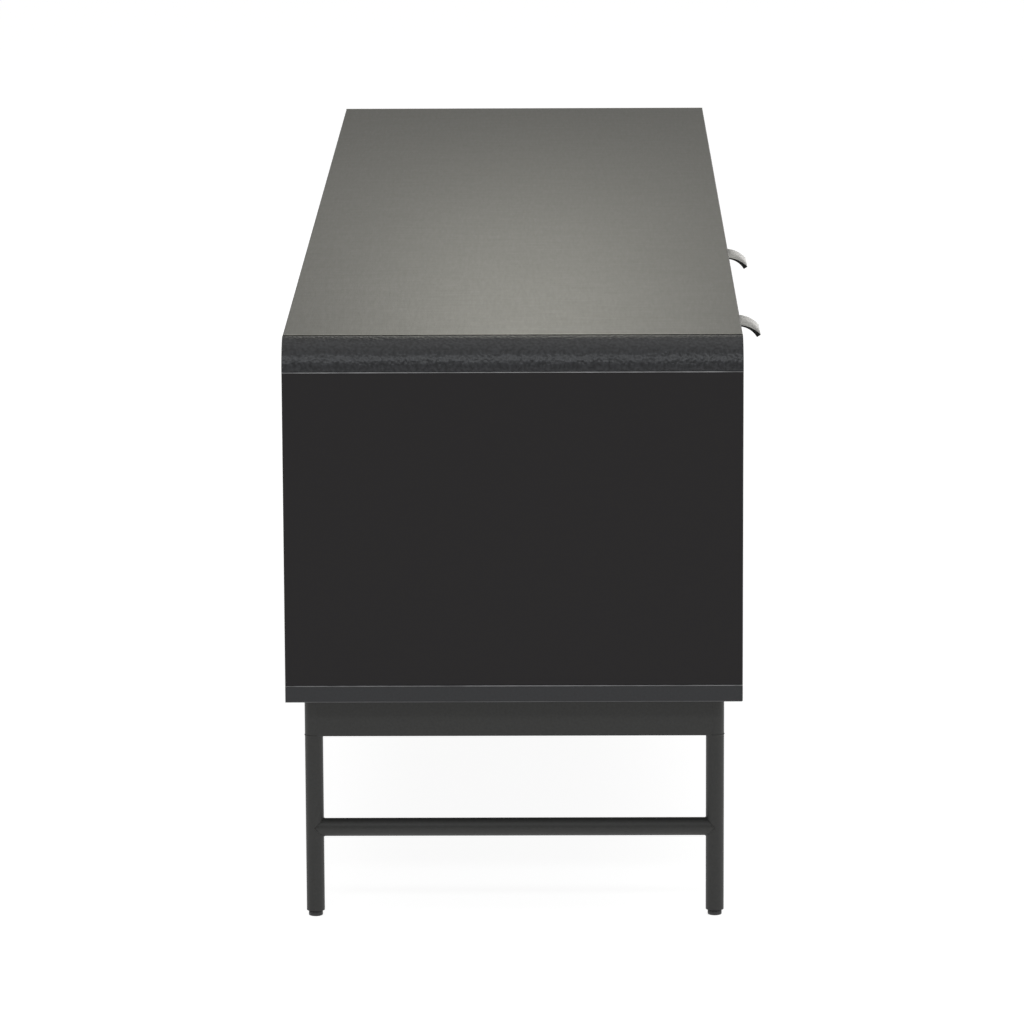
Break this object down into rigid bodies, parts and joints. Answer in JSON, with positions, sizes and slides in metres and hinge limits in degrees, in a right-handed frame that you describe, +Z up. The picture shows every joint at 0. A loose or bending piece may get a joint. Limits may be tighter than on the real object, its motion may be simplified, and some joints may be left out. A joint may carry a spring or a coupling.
{
  "type": "dresser with drawers",
  "caption": "Long, low black drawer cabinet with rounded top corners, deep side-by-side drawers with lip pulls and an open shelf bay, on a slim tube frame.",
  "frame": {"origin": "on the floor, in the middle of the whole object's footprint, counting the lips of the pulls", "axes": "+X along the length towards the open bay, -Y towards the front, +Z up"},
  "size_m": [1.6, 0.4206, 0.52],
  "materials": {
    "body_paint": "matte black lacquer on board",
    "back_board": "matte black foil on thin board",
    "frame_coat": "satin black powder coat",
    "foot_plastic": "matte black plastic",
    "insert_plastic": "matte black plastic",
    "zinc_steel": "zinc-plated steel",
    "dowel_wood": "plain beech",
    "drawer_box": "dark grey foil on board",
    "drawer_bottom": "dark grey foil on thin board",
    "pull_metal": "satin anodised, fine brushed grain",
    "runner_steel": "bright zinc"
  },
  "bodies": {
    "carcass": {"top_panel": "body_paint", "left_corner_profile": "body_paint", "right_corner_profile": "body_paint", "left_end_panel": "body_paint", "right_end_panel": "body_paint", "bottom_panel": "body_paint", "drawer_divider": "body_paint", "centre_divider": "body_paint", "back_panel": "back_board", "back_nails": "zinc_steel", "shelf": "body_paint", "shelf_pins": "zinc_steel", "dowels": "dowel_wood", "cam_drums": "zinc_steel", "cam_bolts": "zinc_steel", "front_rail": "frame_coat", "back_rail": "frame_coat", "left_rail": "frame_coat", "right_rail": "frame_coat", "left_stretcher": "frame_coat", "right_stretcher": "frame_coat", "front_left_leg": "frame_coat", "back_left_leg": "frame_coat", "front_right_leg": "frame_coat", "back_right_leg": "frame_coat", "foot_inserts": "insert_plastic", "frame_screws": "zinc_steel", "runner_screws": "zinc_steel", "drawer_1_left_cabinet_member": "runner_steel", "drawer_1_right_cabinet_member": "runner_steel", "drawer_2_left_cabinet_member": "runner_steel", "drawer_2_right_cabinet_member": "runner_steel"},
    "front_left_foot": {"front_left_foot": "foot_plastic"},
    "back_left_foot": {"back_left_foot": "foot_plastic"},
    "front_right_foot": {"front_right_foot": "foot_plastic"},
    "back_right_foot": {"back_right_foot": "foot_plastic"},
    "drawer_1": {"drawer_1_front": "body_paint", "drawer_1_back": "drawer_box", "drawer_1_bottom": "drawer_bottom", "drawer_1_pull": "pull_metal", "drawer_1_screws": "zinc_steel", "drawer_1_dowels": "dowel_wood", "drawer_1_left_side": "drawer_box", "drawer_1_right_side": "drawer_box", "drawer_1_left_drawer_member": "runner_steel", "drawer_1_right_drawer_member": "runner_steel"},
    "drawer_1_runners": {"drawer_1_left_middle_member": "runner_steel", "drawer_1_right_middle_member": "runner_steel"},
    "drawer_2": {"drawer_2_front": "body_paint", "drawer_2_back": "drawer_box", "drawer_2_bottom": "drawer_bottom", "drawer_2_pull": "pull_metal", "drawer_2_screws": "zinc_steel", "drawer_2_dowels": "dowel_wood", "drawer_2_left_side": "drawer_box", "drawer_2_right_side": "drawer_box", "drawer_2_left_drawer_member": "runner_steel", "drawer_2_right_drawer_member": "runner_steel"},
    "drawer_2_runners": {"drawer_2_left_middle_member": "runner_steel", "drawer_2_right_middle_member": "runner_steel"}
  },
  "joints": [
    {"name": "front_left_foot_turn", "type": "hinge", "parent": "carcass", "child": "front_left_foot", "pos_m": [-0.772, -0.16625, 0], "axis": [0, 0, 1], "range_deg": [-720, 720]},
    {"name": "back_left_foot_turn", "type": "hinge", "parent": "carcass", "child": "back_left_foot", "pos_m": [-0.772, 0.18675, 0], "axis": [0, 0, 1], "range_deg": [-720, 720]},
    {"name": "front_right_foot_turn", "type": "hinge", "parent": "carcass", "child": "front_right_foot", "pos_m": [0.772, -0.16625, 0], "axis": [0, 0, 1], "range_deg": [-720, 720]},
    {"name": "back_right_foot_turn", "type": "hinge", "parent": "carcass", "child": "back_right_foot", "pos_m": [0.772, 0.18675, 0], "axis": [0, 0, 1], "range_deg": [-720, 720]},
    {"name": "drawer_1_slide", "type": "slide", "parent": "carcass", "child": "drawer_1", "axis": [0, -1, 0], "range_m": [0, 0.34]},
    {"name": "drawer_1_runner_slide", "type": "slide", "parent": "carcass", "child": "drawer_1_runners", "axis": [0, -1, 0], "range_m": [0, 0.17]},
    {"name": "drawer_2_slide", "type": "slide", "parent": "carcass", "child": "drawer_2", "axis": [0, -1, 0], "range_m": [0, 0.34]},
    {"name": "drawer_2_runner_slide", "type": "slide", "parent": "carcass", "child": "drawer_2_runners", "axis": [0, -1, 0], "range_m": [0, 0.17]}
  ],
  "couplings": [
    {"joint": "drawer_1_runner_slide", "follows": "drawer_1_slide", "ratio": 0.5},
    {"joint": "drawer_2_runner_slide", "follows": "drawer_2_slide", "ratio": 0.5}
  ]
}
